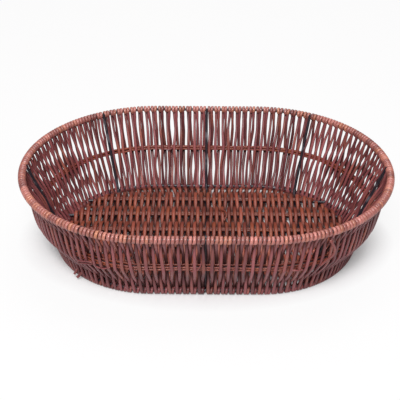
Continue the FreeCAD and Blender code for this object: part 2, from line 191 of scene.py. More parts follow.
def on_oval(quarter, along, level_radius, radius):
    """Point and direction on an oval, in one quarter of the basket.

    along is the way from the middle of the front or back, measured on the oval
    of level_radius; radius is where the point really lies, so that it may
    stand inside or outside that oval without sliding round it.
    """
    side, depth = quarter
    angle = np.maximum(along - STRAIGHT, 0.0) / level_radius
    straight = np.minimum(along, STRAIGHT)
    x = side * (straight + radius * np.sin(angle))
    y = depth * radius * np.cos(angle)
    across = np.stack([side * np.cos(angle), -depth * np.sin(angle), 0.0 * angle], -1)
    return x, y, across


def wall_level(down):
    """Radius of the wall's middle surface at a distance below the rim."""
    return RIM_RADIUS - down * LEAN_IN


def wall_points(quarter, along, down, out):
    """Points on the wall: down from the rim along it, out square to it."""
    level = wall_level(down)
    x, y, across = on_oval(quarter, along, level, level + out * LEAN_DOWN)
    z = RIM_HEIGHT - down * LEAN_DOWN - out * LEAN_IN
    return np.stack([x, y, z], -1), across


def turn_points(quarter, along, centre_radius, centre_height, reach, angles):
    """Points round a ring wire, at angles measured up from straight outwards."""
    x, y, across = on_oval(quarter, along, centre_radius, centre_radius + reach * np.cos(angles))
    z = centre_height + reach * np.sin(angles)
    return np.stack([x, y, z], -1), across


def ease(share):
    """Go from 0 to 1, partly straight and partly in a soft S."""
    share = np.clip(share, 0.0, 1.0)
    curve = 0.5 - 0.5 * np.cos(np.pi * share)
    return EASE_CURVE * curve + (1 - EASE_CURVE) * share


def between(knots, values, places):
    """Run through values at knots, easing from each to the next."""
    places = np.asarray(places, float)
    result = np.full(places.shape, float(values[0]))
    for start, end, low, high in zip(knots[:-1], knots[1:], values[:-1], values[1:]):
        share = np.clip((places - start) / (end - start), 0.0, 1.0)
        result = np.where(places >= start, low + (high - low) * ease(share), result)
    return result


# Tubes and pieces.

SECTION_SIDES = 10
SECTION_POWER = 0.82
# Chosen painted shade on cords, darkening faces that lie deep between their neighbours: how open a
# face is where it starts, how much more there is on a cord's flanks, and the share of it kept on
# faces that look away from the outward side.
SHADE_START = 0.30
FLANK_SHADE = 0.35
INSIDE_SHADE = 0.38


class CordPiece:
    """Gathers the tubes of one piece and turns them into a mesh object."""

    def __init__(self, name):
        self.name = name
        self.points = []
        self.faces = []
        self.space = []
        self.tints = []
        self.painted_shades = []
        self.count = 0

    def add(self, path, across, width, thickness, tint, start=0.0, depth=1.0, outward=None):
        """Sweep a flat-oval cord along a path; across gives its width's direction.

        depth runs from 1 on the outward face of the weave to -1 on the other. With
        outward it sets how much painted shade each face gets; without outward none does.
        """
        steps = np.gradient(path, axis=0)
        forward = steps / np.linalg.norm(steps, axis=1, keepdims=True)
        normal = np.cross(forward, across)
        normal /= np.linalg.norm(normal, axis=1, keepdims=True)
        sideways = np.cross(normal, forward)
        around = np.linspace(0.0, 2 * np.pi, SECTION_SIDES, endpoint=False)
        wide = np.sign(np.cos(around)) * np.abs(np.cos(around)) ** SECTION_POWER
        deep = np.sign(np.sin(around)) * np.abs(np.sin(around)) ** SECTION_POWER
        width = np.broadcast_to(width, (len(path),))
        thickness = np.broadcast_to(thickness, (len(path),))
        reach = sideways[:, None, :] * (wide[None, :, None] * width[:, None, None] / 2)
        rise = normal[:, None, :] * (deep[None, :, None] * thickness[:, None, None] / 2)
        rings = path[:, None, :] + reach + rise
        # Painted shade: each face is darkened by how far it turns away from the open side of the
        # weave, more on the flanks, less on faces that look away from the outward side.
        painted_shade = np.zeros((len(path), SECTION_SIDES))
        if outward is not None:
            facing = reach + rise
            facing /= np.linalg.norm(facing, axis=2, keepdims=True)
            turned = (facing * outward[:, None, :]).sum(2)
            depth = np.broadcast_to(depth, (len(path),))
            flank = FLANK_SHADE * wide[None, :] ** 2
            painted_shade = np.clip(SHADE_START - turned * depth[:, None] + flank, 0.0, 1.0)
            painted_shade *= np.where(turned < 0, INSIDE_SHADE, 1.0)
        lengths = np.linalg.norm(np.diff(path, axis=0), axis=1)
        length = start + np.concatenate([[0.0], np.cumsum(lengths)])
        count = len(path)
        space = np.zeros((count, SECTION_SIDES, 3))
        space[..., 0] = np.cos(around)[None, :] * width[:, None] / 2
        space[..., 1] = np.sin(around)[None, :] * thickness[:, None] / 2
        space[..., 2] = length[:, None]
        index = self.count + np.arange(count * SECTION_SIDES).reshape(count, SECTION_SIDES)
        nearby = np.roll(index, -1, axis=1)
        quads = np.stack([index[:-1], nearby[:-1], nearby[1:], index[1:]], -1)
        self.faces.extend(quads.reshape(-1, 4).tolist())
        self.faces.append(index[0][::-1].tolist())
        self.faces.append(index[-1].tolist())
        self.points.append(rings.reshape(-1, 3))
        self.space.append(space.reshape(-1, 3))
        self.tints.append(np.full(count * SECTION_SIDES, tint))
        self.painted_shades.append(painted_shade.ravel())
        self.count += count * SECTION_SIDES

    def build(self, material, nodes):
        """Make the object, let it ride on the body and hide the CAD nodes it replaces."""
        if not self.points:
            raise RuntimeError(f"{self.name} has no cords")
        points = np.concatenate(self.points)
        mesh = bpy.data.meshes.new(self.name)
        mesh.from_pydata(points.tolist(), [], self.faces)
        attributes = (
            ("cord_space", "FLOAT_VECTOR", "vector", self.space),
            ("cord_tint", "FLOAT", "value", self.tints),
            # The third attribute carries each face's painted shade to the shader.
            ("cord_recess", "FLOAT", "value", self.painted_shades),
        )
        for name, kind, key, parts in attributes:
            values = np.concatenate(parts).astype(np.float32).ravel()
            mesh.attributes.new(name, kind, "POINT").data.foreach_set(key, values)
        mesh.shade_smooth()
        mesh.materials.append(material)
        piece = bpy.data.objects.new(self.name, mesh)
        bpy.context.scene.collection.objects.link(piece)
        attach(piece, BODY)
        if nodes:
            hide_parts(*nodes)
        return piece


# Where the pairs of cords stand.

# Side pairs stand wider apart at the middle rib's end of the base ring than at the other.
GATHER_SIDE = 1.10
GATHER_END = 1.0
RING_CLEARANCE = 0.0004


class Stretch:
    """One stretch of wall between two ribs, with its evenly spread pairs."""

    def __init__(self, quarter, part, settings):
        self.quarter = quarter
        self.part = part
        side, depth = SIDE_NAMES[quarter[0]], DEPTH_NAMES[quarter[1]]
        self.name = f"{depth}_{side}" if part == "side" else f"{side}_{depth}"
        rim_rib = STRAIGHT + RIM_RADIUS * RIB_ANGLE
        ring_rib = STRAIGHT + BASE_RADIUS * RIB_ANGLE
        rim_end = STRAIGHT + RIM_RADIUS * math.pi / 2
        ring_end = STRAIGHT + BASE_RADIUS * math.pi / 2
        self.clear = settings.rib_clearance
        if part == "side":
            self.pairs = settings.side_pairs
            self.rim_span = (0.0, rim_rib)
            self.ring_span = (0.0, ring_rib)
            self.gather = GATHER_SIDE
        else:
            self.pairs = settings.end_pairs
            self.rim_span = (rim_rib, rim_end)
            self.ring_span = (ring_rib, ring_end)
            self.gather = GATHER_END

    def station(self, index):
        """Way along the rim and along the base ring of one pair's middle."""
        share = (index + 0.5) / self.pairs
        low, high = self.rim_span
        rim = low + self.clear + share * (high - low - 2 * self.clear)
        low, high = self.ring_span
        bent = self.gather * share - (self.gather - 1.0) * share ** 2
        ring = low + RING_CLEARANCE + bent * (high - low - 2 * RING_CLEARANCE)
        return rim, ring


# Half the space between a pair's two cords at five levels from the rim to the base ring.
LEVELS = (0.0, 0.5 * HOOP_DOWN, HOOP_DOWN, 0.5 * (HOOP_DOWN + WALL_LENGTH), WALL_LENGTH)
HALF_APART = {
    FRONT: (0.00200, 0.00165, 0.00150, 0.00135, 0.00128),
    BACK: (0.00095, 0.00125, 0.00130, 0.00135, 0.00128),
}
# How far the cords stray at those levels, in the back, across the wall and on the rim.
LEVEL_STRAYS = (0.3, 0.9, 1.0, 1.0, 0.6)
BACK_LOOSENESS = 1.5
SWELL_SHARE = 0.6
WRAP_SHARE = 0.25
TINT_MIDDLE, TINT_SPREAD = 0.5, 0.24
LONGEST_PHASE = 3.0
PHASE_STEP = 0.003
# Cords are narrower where they cross the wall's middle and wider where they lie on a face.
CROSSING_SHARE = 0.84
OPEN_SPREAD = 0.24
# Distances of the cords' faces from the wall's middle surface at the hoop, and how far above
# and below the hoop a cord may swell outwards only.
HOOP_INNER = 0.0012
HOOP_OUTER = 0.0038
HOOP_BAND = 0.004
UPPER_STEPS = 15
LOWER_STEPS = 14
# The turns round the rim wire: their distance from the pair's middle, the angle at which
# cords leave it, and the quarter turns at which they come to those distances.
LASHING_STEP = 0.00149
RIM_LEAVE = 0.85
RIM_STEPS = 43
RIM_QUARTERS = (0.6, 2.0, 3.9, 5.0)
RIM_END_GAP = 0.0006
RIM_BLEND = 4
# The cords' ends on the base ring.
RING_END_GAP = 0.0008
RING_DEPTH = 0.3
OUTER_END, OUTER_STEPS = -0.62 * math.pi, 8
INNER_END, INNER_STEPS = 3.35 * math.pi, 22
INNER_LEAN = 0.4
INNER_SLIDE = 0.9


class Pair:
    """One pair of cords: the outer cord loops twice round the rim into the inner."""

    def __init__(self, stretch, index, settings, random):
        self.stretch = stretch
        self.settings = settings
        self.quarter = stretch.quarter
        side, depth = stretch.quarter
        self.around = -side * depth
        self.outer_side = -1 if depth == FRONT else 1
        self.rim, self.ring = stretch.station(index)
        stray = settings.unevenness * (BACK_LOOSENESS if depth == BACK else 1.0)
        self.strays = {cord: random.normal(0.0, stray, len(LEVELS)) * np.array(LEVEL_STRAYS)
                       for cord in ("outer", "inner")}
        self.swells = {cord: random.normal(0.0, stray * SWELL_SHARE, len(LEVELS))
                       for cord in ("outer", "inner")}
        self.tint = float(np.clip(random.normal(TINT_MIDDLE, TINT_SPREAD), 0.0, 1.0))
        self.phase = float(random.uniform(0.0, LONGEST_PHASE))
        self.wrap_stray = random.normal(0.0, stray * WRAP_SHARE, 2)

    def along(self, cord, down):
        """Way round the oval of one cord at distances below the rim."""
        share = np.clip(down / WALL_LENGTH, 0.0, 1.0)
        middle = self.rim + (self.ring - self.rim) * share
        half = between(LEVELS, HALF_APART[self.quarter[1]], down)
        sign = self.outer_side if cord == "outer" else -self.outer_side
        stray = between(LEVELS, self.strays[cord], down)
        place = middle + self.around * (sign * half + stray)
        beside = (WIRE + self.settings.thickness) / 2
        needed = np.sqrt(np.maximum(beside ** 2 - self.out(cord, down) ** 2, 0.0))
        ends = zip(self.stretch.rim_span, self.stretch.ring_span)
        near, far = (rim + (ring - rim) * share for rim, ring in ends)
        return np.clip(place, near + needed, far - needed)

    def out(self, cord, down):
        """Distance of one cord outside the wall's middle surface."""
        reach = self.settings.thickness / 2
        rim = RIM_TURN * math.cos(RIM_LEAVE)
        if cord == "outer":
            values = (rim, 0.0, -HOOP_INNER - reach, 0.0, WIRE / 2 + reach)
        else:
            middle = (HOOP_OUTER - WIRE / 2) / 2
            values = (-rim, middle, HOOP_OUTER + reach, middle, -WIRE / 2 - reach)
        knots = (LEVELS[0], LEVELS[2], LEVELS[4])
        base = between(knots, (values[0], values[2], values[4]), down)
        swell = between(LEVELS, (0.0, *self.swells[cord][1:4], 0.0), down)
        return base + np.where(np.abs(down - HOOP_DOWN) < HOOP_BAND, np.abs(swell), swell)

    def wall_levels(self):
        """Distances below the rim at which the wall cords have points."""
        top = RIM_TURN * math.sin(RIM_LEAVE) + RIM_END_GAP
        upper = np.linspace(top, HOOP_DOWN, UPPER_STEPS, endpoint=False)
        lower = np.linspace(HOOP_DOWN, WALL_LENGTH - RING_END_GAP, LOWER_STEPS)
        return np.concatenate([upper, lower])

    def depth(self, cord):
        """How near one cord lies to the wall's outer face, 1, or its inner face, -1."""
        return self.out(cord, self.wall_levels()) / self.settings.thickness

    def wall_path(self, cord):
        """Path of one cord from just under the rim to just above the base ring."""
        down = self.wall_levels()
        return wall_points(self.quarter, self.along(cord, down), down, self.out(cord, down))

    def rim_path(self):
        """Two turns round the rim wire, from the outer cord to the inner one."""
        tilt = math.asin(LEAN_IN)
        start, end = -tilt - RIM_LEAVE, 3 * math.pi - tilt + RIM_LEAVE
        angles = np.linspace(start, end, RIM_STEPS)
        outer = self.outer_side
        first = outer * LASHING_STEP + self.wrap_stray[0]
        second = -outer * LASHING_STEP + self.wrap_stray[1]
        leave = self.around * (self.along("outer", np.zeros(1))[0] - self.rim)
        enter = self.around * (self.along("inner", np.zeros(1))[0] - self.rim)
        knots = (start, *(quarters * math.pi / 2 for quarters in RIM_QUARTERS), end)
        offsets = between(knots, (leave, first, first, second, second, enter), angles)
        along = self.rim + self.around * offsets
        return turn_points(self.quarter, along, RIM_RADIUS, RIM_HEIGHT, RIM_TURN, angles)

    def ring_path(self, cord):
        """The end of a wall cord on the base ring.

        The outer cord passes outside the ring and under it. The inner cord winds
        round it, a little more than one turn.
        """
        reach = (WIRE + self.settings.thickness) / 2
        along = self.along(cord, np.full(1, WALL_LENGTH))[0]
        tilt = math.asin(LEAN_IN)
        if cord == "outer":
            angles = np.linspace(-tilt, OUTER_END, OUTER_STEPS)
            places = np.full(OUTER_STEPS, along)
        else:
            angles = np.linspace(math.pi + tilt * INNER_LEAN, INNER_END, INNER_STEPS)
            turned = (angles - angles[0]) / (angles[-1] - angles[0])
            slide = self.settings.width * INNER_SLIDE
            places = along + self.around * (turned - 0.5) * slide
        return turn_points(self.quarter, places, BASE_RADIUS, BASE_HEIGHT, reach, angles)


def outward_of(path):
    """The wall's outward direction beside each point of a path."""
    outwards = np.stack([path[:, 0] - np.clip(path[:, 0], -STRAIGHT, STRAIGHT),
                         path[:, 1], np.zeros(len(path))], -1)
    outwards /= np.linalg.norm(outwards, axis=1, keepdims=True)
    return outwards * LEAN_DOWN - np.array([0.0, 0.0, LEAN_IN])


def add_pair(pair, lashings, walls):
    """Add one pair's turns on the rim and its two wall cords to their pieces."""
    settings = pair.settings
    outer, outer_across = pair.wall_path("outer")
    inner, inner_across = pair.wall_path("inner")
    ring_outer, ring_outer_across = pair.ring_path("outer")
    ring_inner, ring_inner_across = pair.ring_path("inner")
    turns, turns_across = pair.rim_path()
    path = np.concatenate([ring_outer[::-1], outer[::-1], turns, inner, ring_inner])
    across = np.concatenate([ring_outer_across[::-1], outer_across[::-1], turns_across,
                             inner_across, ring_inner_across])
    first = len(ring_outer) + len(outer)
    last = first + len(turns)
    steps = np.arange(len(path))
    to_rim = np.minimum(steps - first + RIM_BLEND, last + RIM_BLEND - 1 - steps)
    near_rim = np.clip(to_rim / RIM_BLEND, 0.0, 1.0)
    width = settings.width + (settings.lashing_width - settings.width) * near_rim
    lashing_thickness = 2 * (RIM_TURN - WIRE / 2)
    thickness = settings.thickness + (lashing_thickness - settings.thickness) * near_rim
    outward = outward_of(path)
    depth = np.ones(len(path))
    depth[len(ring_outer):first] = np.clip(pair.depth("outer"), -1.0, 1.0)[::-1]
    depth[last:last + len(inner)] = np.clip(pair.depth("inner"), -1.0, 1.0)
    # The ends on the base ring take a set depth, which sets how much painted shade they get.
    depth[last + len(inner):] = RING_DEPTH
    in_wall = (steps >= len(ring_outer)) & (steps < last + len(inner)) & (near_rim == 0.0)
    wall_width = settings.width * (CROSSING_SHARE + OPEN_SPREAD * np.abs(depth))
    width = np.where(in_wall, wall_width, width)
    ranges = (
        (walls, 0, first + 1),
        (lashings, first, last),
        (walls, last - 1, len(path)),
    )
    for piece, start, end in ranges:
        cut = slice(start, end)
        # The turns on the rim get no painted shade; the wall cords get it by their depth and outward
        # direction.
        facing = {} if piece is lashings else {"depth": depth[cut], "outward": outward[cut]}
        piece.add(path[cut], across[cut], width[cut], thickness[cut], pair.tint,
                  pair.phase + start * PHASE_STEP, **facing)
    return path[0], path[-1]


# Shader groups and materials.

def new_group(name, inputs, outputs):
    """Make a shader node group with named sockets."""
    group = bpy.data.node_groups.new(name, "ShaderNodeTree")
    for label, kind, default in inputs:
        socket = group.interface.new_socket(label, in_out="INPUT", socket_type=kind)
        if default is not None:
            socket.default_value = default
    for label, kind in outputs:
        group.interface.new_socket(label, in_out="OUTPUT", socket_type=kind)
    start = group.nodes.new("NodeGroupInput")
    end = group.nodes.new("NodeGroupOutput")
    return group, start, end


def add_node(tree, kind, inputs=(), **settings):
    """Add a node; inputs is a list of (socket, value or output socket)."""
    node = tree.nodes.new(kind)
    for name, setting in settings.items():
        setattr(node, name, setting)
    for key, source in inputs:
        if isinstance(source, bpy.types.NodeSocket):
            tree.links.new(source, node.inputs[key])
        else:
            node.inputs[key].default_value = source
    return node


def add_noise(tree, vector, scale, detail, roughness=0.5):
    """A noise texture's value at a place."""
    return add_node(tree, "ShaderNodeTexNoise", [
        ("Vector", vector), ("Scale", scale), ("Detail", detail),
        ("Roughness", roughness)]).outputs[0]


def add_range(tree, value, source, target):
    """A value carried from one range to another."""
    return add_node(tree, "ShaderNodeMapRange", [
        ("Value", value), ("From Min", source[0]), ("From Max", source[1]),
        ("To Min", target[0]), ("To Max", target[1])]).outputs[0]


def add_math(tree, operation, *values, clamp=False):
    """The result of a calculation on values."""
    return add_node(tree, "ShaderNodeMath", list(enumerate(values)), operation=operation,
                    use_clamp=clamp).outputs[0]


def add_vector(tree, operation, first, second):
    """The result of a calculation on two vectors."""
    return add_node(tree, "ShaderNodeVectorMath", [(0, first), (1, second)],
                    operation=operation).outputs[0]


def add_blend(tree, share, first, second):
    """A colour between two others."""
    return add_node(tree, "ShaderNodeMix", [
        ("Factor", share), (6, first), (7, second)], data_type="RGBA").outputs[2]


# The middle part of a noise's range, which most of its values lie in.
NOISE_SPAN = (0.3, 0.7)
STREAK_SCALE = (2600.0, 2600.0, 60.0)
PATCH_SCALE = (120.0, 120.0, 55.0)
PATCH_TONES = (-0.18, 0.18)
WARM_SHIFT = (7.0, 3.0, 11.0)
WARM_SCALE = 0.7
WARM_SPAN = (0.5, 0.75)
WARM_SHARES = (0.0, 0.5)
STREAK_STRENGTH = 0.22
CORD_ROUGHNESS = (0.30, 0.46)
# How far painted shade pulls a colour towards the shade colour at most, and how much rougher it makes
# the cord there.
DEEPEST_SHADE = 0.93
SHADE_ROUGHNESS = 0.35


def cord_grain_and_shade_group():
    """Streaks along a cord, slow changes of tone, and painted shade where it lies deep."""
    group, start, end = new_group(
        "cord_grain_and_painted_shade",
        (("Place", "NodeSocketVector", None), ("Tint", "NodeSocketFloat", 0.5),
         ("Dark", "NodeSocketColor", (0.2, 0.1, 0.1, 1)),
         ("Light", "NodeSocketColor", (0.4, 0.2, 0.2, 1)),
         ("Warm", "NodeSocketColor", (0.4, 0.2, 0.1, 1)),
         ("Streak", "NodeSocketFloat", 0.35), ("Recess", "NodeSocketFloat", 0.0),
         ("Deep", "NodeSocketColor", (0.040, 0.007, 0.004, 1))),
        (("Colour", "NodeSocketColor"), ("Roughness", "NodeSocketFloat"),
         ("Height", "NodeSocketFloat")))
    given = start.outputs
    stretched = add_vector(group, "MULTIPLY", given["Place"], STREAK_SCALE)
    streaks = add_noise(group, stretched, 1.0, 3.0, 0.6)
    slow = add_vector(group, "MULTIPLY", given["Place"], PATCH_SCALE)
    patches = add_noise(group, slow, 1.0, 2.0)
    drift = add_range(group, patches, NOISE_SPAN, PATCH_TONES)
    tone = add_math(group, "ADD", given["Tint"], drift, clamp=True)
    colour = add_blend(group, tone, given["Dark"], given["Light"])
    shifted = add_vector(group, "ADD", slow, WARM_SHIFT)
    hue = add_noise(group, shifted, WARM_SCALE, 1.0)
    warm = add_range(group, hue, WARM_SPAN, WARM_SHARES)
    warmed = add_blend(group, warm, colour, given["Warm"])
    shade = add_range(group, streaks, NOISE_SPAN, (-1.0, 1.0))
    gain = add_math(group, "ADD", add_math(group, "MULTIPLY", shade, given["Streak"]), 1.0)
    lit = add_node(group, "ShaderNodeVectorMath", [(0, warmed), ("Scale", gain)],
                   operation="SCALE").outputs[0]
    # Painted shade: the colour is pulled towards a dark red where the cord lies deep.
    deep = add_math(group, "MULTIPLY", given["Recess"], DEEPEST_SHADE, clamp=True)
    shaded = add_blend(group, deep, lit, given["Deep"])
    rough = add_range(group, streaks, NOISE_SPAN, CORD_ROUGHNESS)
    dull = add_math(group, "MULTIPLY_ADD", given["Recess"], SHADE_ROUGHNESS, rough, clamp=True)
    group.links.new(shaded, end.inputs["Colour"])
    group.links.new(dull, end.inputs["Roughness"])
    group.links.new(streaks, end.inputs["Height"])
    return group


FINE_SCALE, BROAD_SCALE = 900.0, 90.0
PALE_SPAN = (0.58, 0.75)
PALE_SHARES = (0.0, 0.8)
PAINT_ROUGHNESS = (0.28, 0.5)


def paint_group():
    """Uneven dark paint: a paler tone in patches, and fine changes of sheen."""
    group, start, end = new_group(
        "wire_paint",
        (("Place", "NodeSocketVector", None),
         ("Paint", "NodeSocketColor", (0.03, 0.03, 0.04, 1)),
         ("Pale", "NodeSocketColor", (0.16, 0.15, 0.17, 1))),
        (("Colour", "NodeSocketColor"), ("Roughness", "NodeSocketFloat"),
         ("Height", "NodeSocketFloat")))
    fine = add_noise(group, start.outputs["Place"], FINE_SCALE, 3.0)
    broad = add_noise(group, start.outputs["Place"], BROAD_SCALE, 2.0)
    pale = add_range(group, broad, PALE_SPAN, PALE_SHARES)
    colour = add_blend(group, pale, start.outputs["Paint"], start.outputs["Pale"])
    rough = add_range(group, fine, NOISE_SPAN, PAINT_ROUGHNESS)
    group.links.new(colour, end.inputs["Colour"])
    group.links.new(rough, end.inputs["Roughness"])
    group.links.new(fine, end.inputs["Height"])
    return group


def shared_group(name, make):
    """Find a node group by name, or make it the first time."""
    return bpy.data.node_groups.get(name) or make()


def toned(colour, tone):
    """A colour with each of its parts made lighter or darker."""
    return (*(min(part * gain, 1.0) for part, gain in zip(colour, tone)), 1.0)


def start_material(name):
    """Make a material and return it with its tree and its principled shader."""
    material = bpy.data.materials.new(name)
    material.use_nodes = True
    tree = material.node_tree
    return material, tree, tree.nodes["Principled BSDF"]


def finish_material(tree, shader, effect, bumps):
    """Join an effect group's colour, roughness and height to the shader."""
    tree.links.new(effect.outputs["Colour"], shader.inputs["Base Color"])
    tree.links.new(effect.outputs["Roughness"], shader.inputs["Roughness"])
    bump = add_node(tree, "ShaderNodeBump", [
        ("Height", effect.outputs["Height"]), ("Strength", bumps[0]),
        ("Distance", bumps[1])])
    tree.links.new(bump.outputs[0], shader.inputs["Normal"])


# Chosen tones: what each place multiplies the cord's red, green and blue by. These paint light and
# shade:
# the rim's copy is lighter as painted light and highlight, the base's and the base runners' are
# darker as painted shade, and the wall's is bluer as a painted sheen.
PLACE_TONES_WITH_PAINTED_LIGHT = {
    "rim_cord": (1.55, 1.95, 2.05),
    "wall_cord": (1.00, 0.98, 1.30),
    "base_cord": (0.84, 0.66, 0.50),
    "hoop_cord": (0.95, 0.78, 0.64),
    "runner_cord": (0.55, 0.42, 0.33),
}

# Chosen strength of the sheen in each place.
CORD_GLOSS = {
    "rim_cord": 0.62,
    "wall_cord": 0.42,
    "base_cord": 0.36,
    "hoop_cord": 0.36,
    "runner_cord": 0.30,
}

# Strength and depth of the bumps on cord and on wire.
CORD_BUMP = (0.35, 0.0002)
WIRE_BUMP = (0.2, 0.0001)
WIRE_GLOSS = 0.3
WIRE_COAT = 0.1
COAT_ROUGHNESS = 0.3


def cord_material(name):
    """The woven cord's finish, made once for each place in the basket, with that place's tone of
    painted light or shade.
    """
    if name in bpy.data.materials:
        return bpy.data.materials[name]
    tone = PLACE_TONES_WITH_PAINTED_LIGHT[name]
    finish = bpy.context.scene.basket_finish
    material, tree, shader = start_material(name)
    grain_and_shade = shared_group("cord_grain_and_painted_shade", cord_grain_and_shade_group)
    effect = add_node(tree, "ShaderNodeGroup", node_tree=grain_and_shade)
    for attribute, output, target in (("cord_space", "Vector", "Place"),
                                      ("cord_tint", "Fac", "Tint"),
                                      ("cord_recess", "Fac", "Recess")):
        source = add_node(tree, "ShaderNodeAttribute", attribute_name=attribute)
        tree.links.new(source.outputs[output], effect.inputs[target])
    effect.inputs["Dark"].default_value = toned(finish.cord_dark, tone)
    effect.inputs["Light"].default_value = toned(finish.cord_light, tone)
    effect.inputs["Warm"].default_value = toned(finish.cord_warm, tone)
    effect.inputs["Streak"].default_value = STREAK_STRENGTH
    shader.inputs["Specular IOR Level"].default_value = CORD_GLOSS[name]
    finish_material(tree, shader, effect, CORD_BUMP)
    return material


def wire_material():
    """The dark paint on the wires, made once."""
    name = "painted_wire"
    if name in bpy.data.materials:
        return bpy.data.materials[name]
    finish = bpy.context.scene.basket_finish
    material, tree, shader = start_material(name)
    place = add_node(tree, "ShaderNodeTexCoord")
    effect = add_node(tree, "ShaderNodeGroup", node_tree=shared_group("wire_paint", paint_group))
    tree.links.new(place.outputs["Object"], effect.inputs["Place"])
    effect.inputs["Paint"].default_value = (*finish.wire_paint, 1.0)
    shader.inputs["Specular IOR Level"].default_value = WIRE_GLOSS
    shader.inputs["Coat Weight"].default_value = WIRE_COAT
    shader.inputs["Coat Roughness"].default_value = COAT_ROUGHNESS
    finish_material(tree, shader, effect, WIRE_BUMP)
    return material


# Operators.

class BASKET_OT_paint_wires(bpy.types.Operator):
    """Give every wire of the frame its painted finish"""

    bl_idname = "basket.paint_wires"
    bl_label = "Paint Wires"

    def execute(self, context):
        material = wire_material()
        slots = {part["node"]: part["material_slot"] for part in frame["record"]["subparts"]}
        for name, thing in frame["nodes"].items():
            if slots[name] != CORD_SLOT:
                thing.data.materials.clear()
                thing.data.materials.append(material)
        return {"FINISHED"}


def all_stretches(settings):
    """The eight stretches of wall between the ribs."""
    return [Stretch(quarter, part, settings) for quarter in QUARTERS for part in ("side", "end")]


CROSS_WIRE_PLACE = RIB_LOW.x + WIRE / 2
BASE_STEP = 0.0016
BASE_SPREAD = 1.08
OVER_SPREAD = 0.20
BASE_MARGIN = 0.0002
END_LINES = 7
# Ways in from the ring over which a base cord comes to its height and to its own line.
RISE_LENGTH = 0.015
SETTLE_LENGTH = 0.022
WAVE_POWER = 0.8
WANDER_KNOTS = 7
# A base cord keeps clear of a cross wire when its pair's middle is less than this many of the
# pair's half spaces away.
NEAR_WIRE = 4
END_TUCK = 0.011
TUCK_STEPS = 6
TUCK_RISE = 0.0022
TUCK_CURVE = 1.5


def base_lines(settings):
    """Middles of the pairs on the base, out from the middle wire, and their spacing."""
    pitch = (CROSS_WIRE_PLACE - 2 * BASE_MARGIN) / settings.side_pairs
    side = [BASE_MARGIN + pitch * (index + 0.5) for index in range(settings.side_pairs)]
    end = [CROSS_WIRE_PLACE + BASE_MARGIN + pitch * (index + 0.5) for index in range(END_LINES)]
    return side, end, pitch


def base_wave(settings, cord, y):
    """Height of a base cord as it passes over and under the lengthwise bands."""
    half = settings.thickness / 2
    high = OVER_HEIGHT + half
    low = UNDER_HEIGHT - half
    wave = np.cos(np.pi * y / BAND_SPACING)
    wave = np.sign(wave) * np.abs(wave) ** WAVE_POWER
    sign = 1.0 if cord == "outer" else -1.0
    return (high + low) / 2 + sign * wave * (high - low) / 2


def soft_step(share):
    """Go from 0 to 1 with a level start and a level end."""
    share = np.clip(share, 0.0, 1.0)
    return share * share * (3 - 2 * share)


def add_base_cord(piece, settings, cord, start, end, line, tint, phase, random):
    """Carry a wall cord across the base from its front end to its back end."""
    middle, apart = line
    count = int((abs(start[1]) + abs(end[1])) / BASE_STEP)
    share = np.linspace(0.0, 1.0, count)
    y = start[1] + (end[1] - start[1]) * share
    stray = random.normal(0.0, settings.unevenness, WANDER_KNOTS)
    wander = between(np.linspace(0.0, 1.0, WANDER_KNOTS), (0.0, *stray[1:-1], 0.0), share)
    line_x = middle + (-apart if cord == "outer" else apart)
    inside = np.where(y < 0, y - start[1], end[1] - y)
    edge = np.where(y < 0, start[0], end[0])
    x = edge + (line_x - edge) * soft_step(inside / SETTLE_LENGTH) + wander
    ground = np.where(y < 0, start[2], end[2])
    z = ground + (base_wave(settings, cord, y) - ground) * soft_step(inside / RISE_LENGTH)
    beside = (WIRE + settings.thickness) / 2
    needed = np.sqrt(np.maximum(beside ** 2 - (z - BASE_HEIGHT) ** 2, 0.0))
    for wire_x in (-CROSS_WIRE_PLACE, 0.0, CROSS_WIRE_PLACE):
        way = 1.0 if middle > wire_x else -1.0
        if abs(middle - wire_x) < apart * NEAR_WIRE:
            x = wire_x + way * np.maximum(way * (x - wire_x), needed)
    path = np.stack([x, y, z], -1)
    across = np.tile(np.array([1.0, 0.0, 0.0]), (count, 1))
    middle_height = (OVER_HEIGHT + UNDER_HEIGHT) / 2
    # Depth and the upward direction set the painted shade on the base cords, darker where they dip
    # under others.
    depth = np.clip((z - middle_height) / settings.thickness, -1.0, 1.0)
    upward = np.tile(np.array([0.0, 0.0, 1.0]), (count, 1))
    width = settings.width * (BASE_SPREAD + OVER_SPREAD * depth)
    piece.add(path, across, width, settings.thickness, tint, phase, depth, upward)


def add_tucked_end(piece, settings, start, pair):
    """Tuck the end of a wall cord in under the edge of the base."""
    centre = np.array([pair.quarter[0] * STRAIGHT, 0.0, start[2]])
    inward = centre - start
    inward /= np.linalg.norm(inward)
    share = np.linspace(0.0, 1.0, TUCK_STEPS)[:, None]
    rise = np.array([0.0, 0.0, TUCK_RISE]) * share ** TUCK_CURVE
    path = start + inward * share * END_TUCK + rise
    across = np.tile(np.cross(inward, [0.0, 0.0, 1.0]), (TUCK_STEPS, 1))
    piece.add(path, across, settings.width, settings.thickness, pair.tint, pair.phase)


